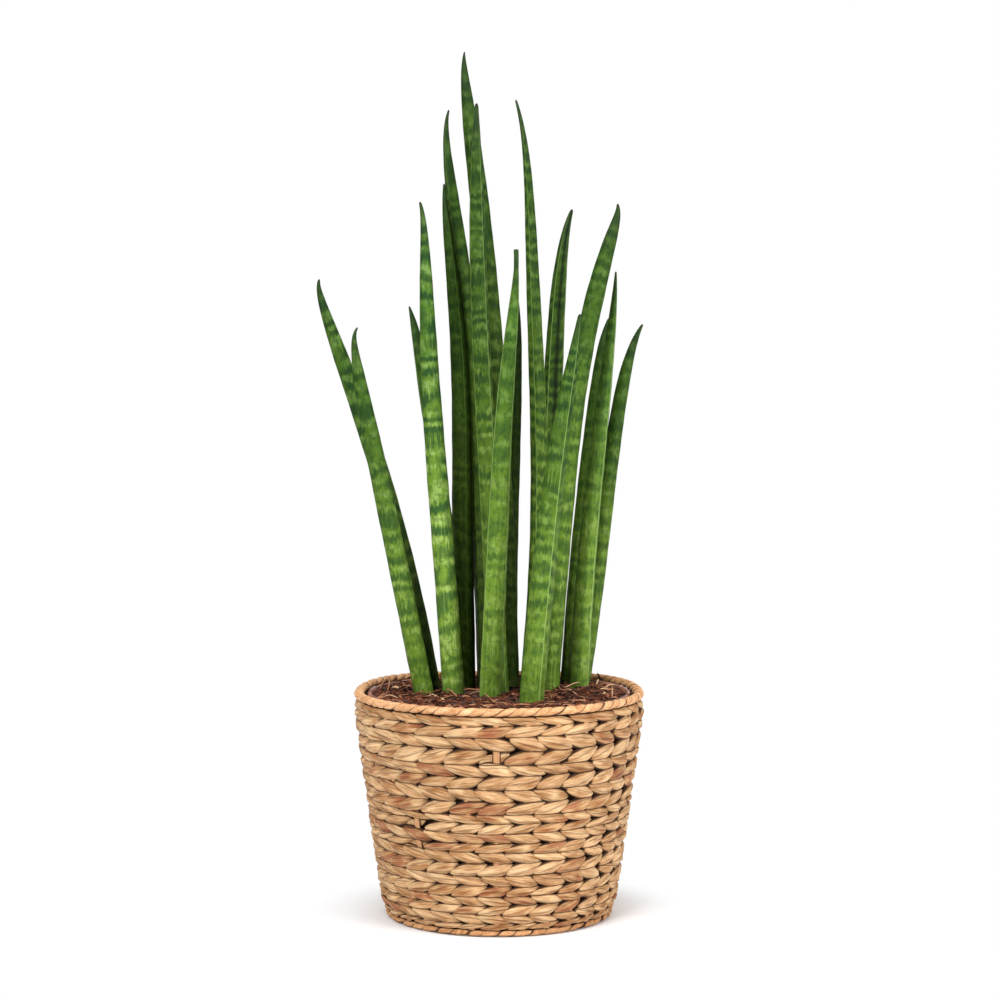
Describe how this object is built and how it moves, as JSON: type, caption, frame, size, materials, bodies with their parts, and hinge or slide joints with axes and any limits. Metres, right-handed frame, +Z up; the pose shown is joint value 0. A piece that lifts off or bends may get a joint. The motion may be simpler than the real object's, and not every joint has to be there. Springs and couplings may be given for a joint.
{
  "type": "potted mikado snake plant",
  "caption": "Cylindrical-leaved snake plant with stiff upright banded leaves, in compost in a nursery pot, standing in a round tapered woven basket.",
  "frame": {"origin": "centre of the basket's flat underside, on the basket's axis", "axes": "+Z up along the basket's axis, -Y towards the front of the picture, +X to the right seen from the front"},
  "size_m": [0.2224, 0.193, 0.575],
  "materials": {
    "straw": "matte",
    "straw_cord": "matte",
    "pot_plastic": "satin",
    "compost": "matte",
    "leaf": "satin"
  },
  "bodies": {
    "root": {"basket": "straw", "basket_rim": "straw_cord", "basket_foot": "straw_cord", "nursery_pot": "pot_plastic", "soil": "compost", "leaf_01": "leaf", "leaf_02": "leaf", "leaf_03": "leaf", "leaf_04": "leaf", "leaf_05": "leaf", "leaf_06": "leaf", "leaf_07": "leaf", "leaf_08": "leaf", "leaf_09": "leaf", "leaf_10": "leaf", "leaf_11": "leaf", "leaf_12": "leaf", "leaf_13": "leaf", "leaf_14": "leaf", "leaf_15": "leaf", "leaf_16": "leaf", "leaf_17": "leaf"}
  },
  "joints": []
}
